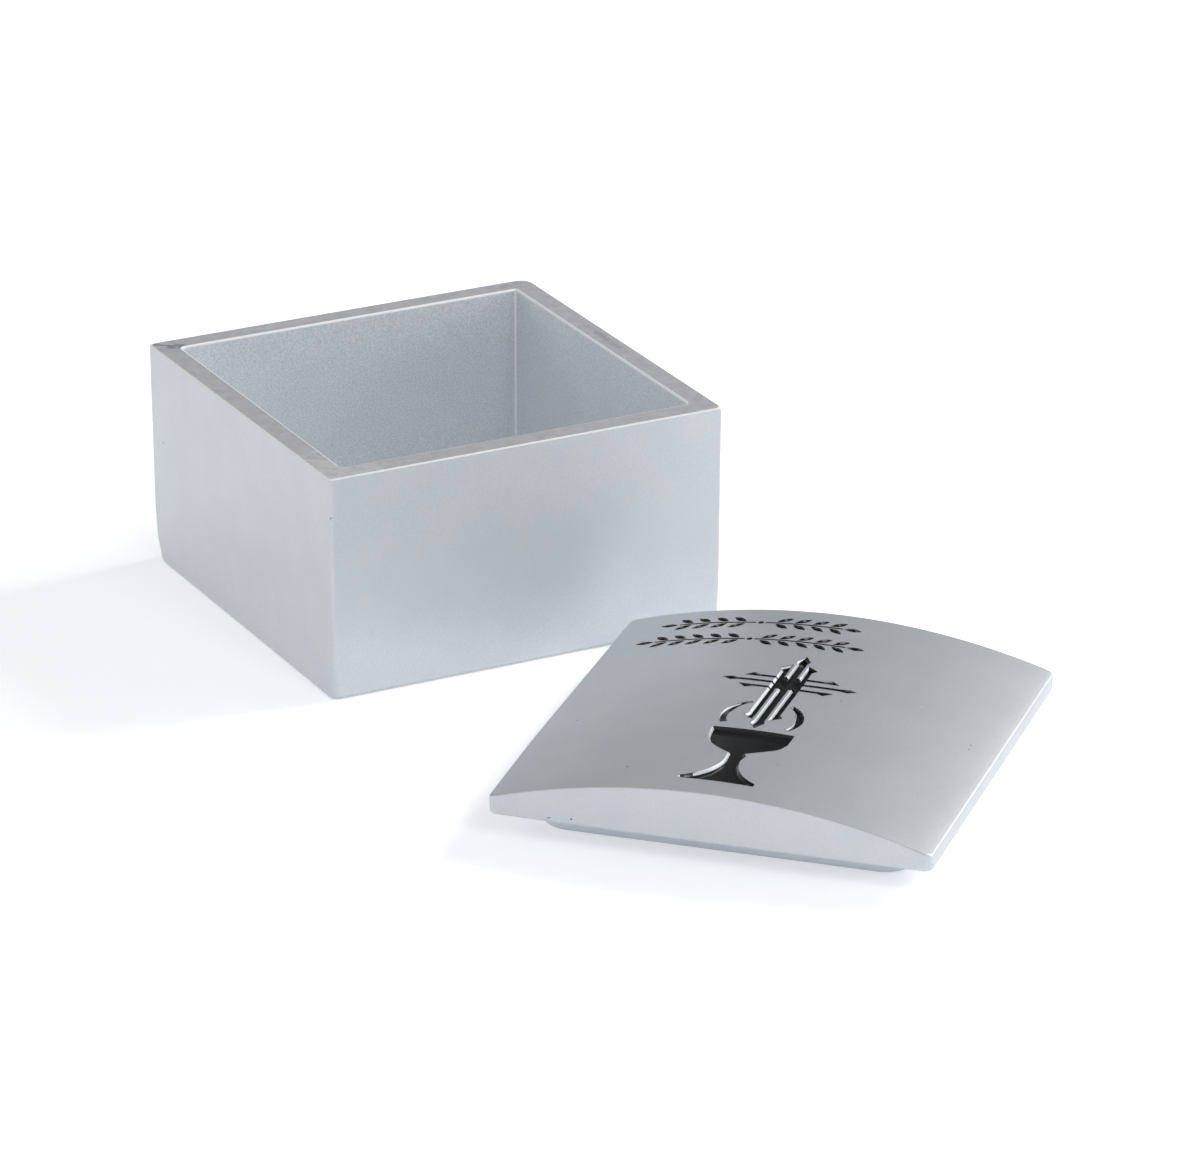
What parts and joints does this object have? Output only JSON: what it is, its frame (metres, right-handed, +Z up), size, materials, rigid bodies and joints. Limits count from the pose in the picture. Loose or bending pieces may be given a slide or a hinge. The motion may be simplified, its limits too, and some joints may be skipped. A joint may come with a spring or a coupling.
{
  "type": "keepsake box",
  "caption": "Small square cast resin keepsake box with an open cavity, and a separate lid with an arched top, an underside plug and a sunk enamelled emblem, lying beside it.",
  "frame": {"origin": "middle of the box's foot, on the table", "axes": "+Z up, -Y out of the box's front, +X to the right seen from the front. At rest the lid lies on its plug beside the box, to its front right, turned -45.4 degrees about +Z. It closes the box when it is raised, turned back by 45.4 degrees so that the emblem's upright runs along +Y, centred over the box and lowered until its underside meets the rim."},
  "size_m": [0.1006, 0.1784, 0.038],
  "materials": {
    "silver_resin": "satin silver paint over cast resin",
    "black_enamel": "glossy black enamel, slightly gritty"
  },
  "bodies": {
    "box": {"box_base": "silver_resin"},
    "lid": {"lid": "silver_resin", "cross_enamel": "black_enamel", "host_enamel": "black_enamel", "chalice_enamel": "black_enamel"}
  },
  "joints": [
    {"name": "lid_lift", "type": "slide", "parent": "box", "child": "lid", "axis": [0, 0, 1], "range_m": [0, 0.06]}
  ]
}
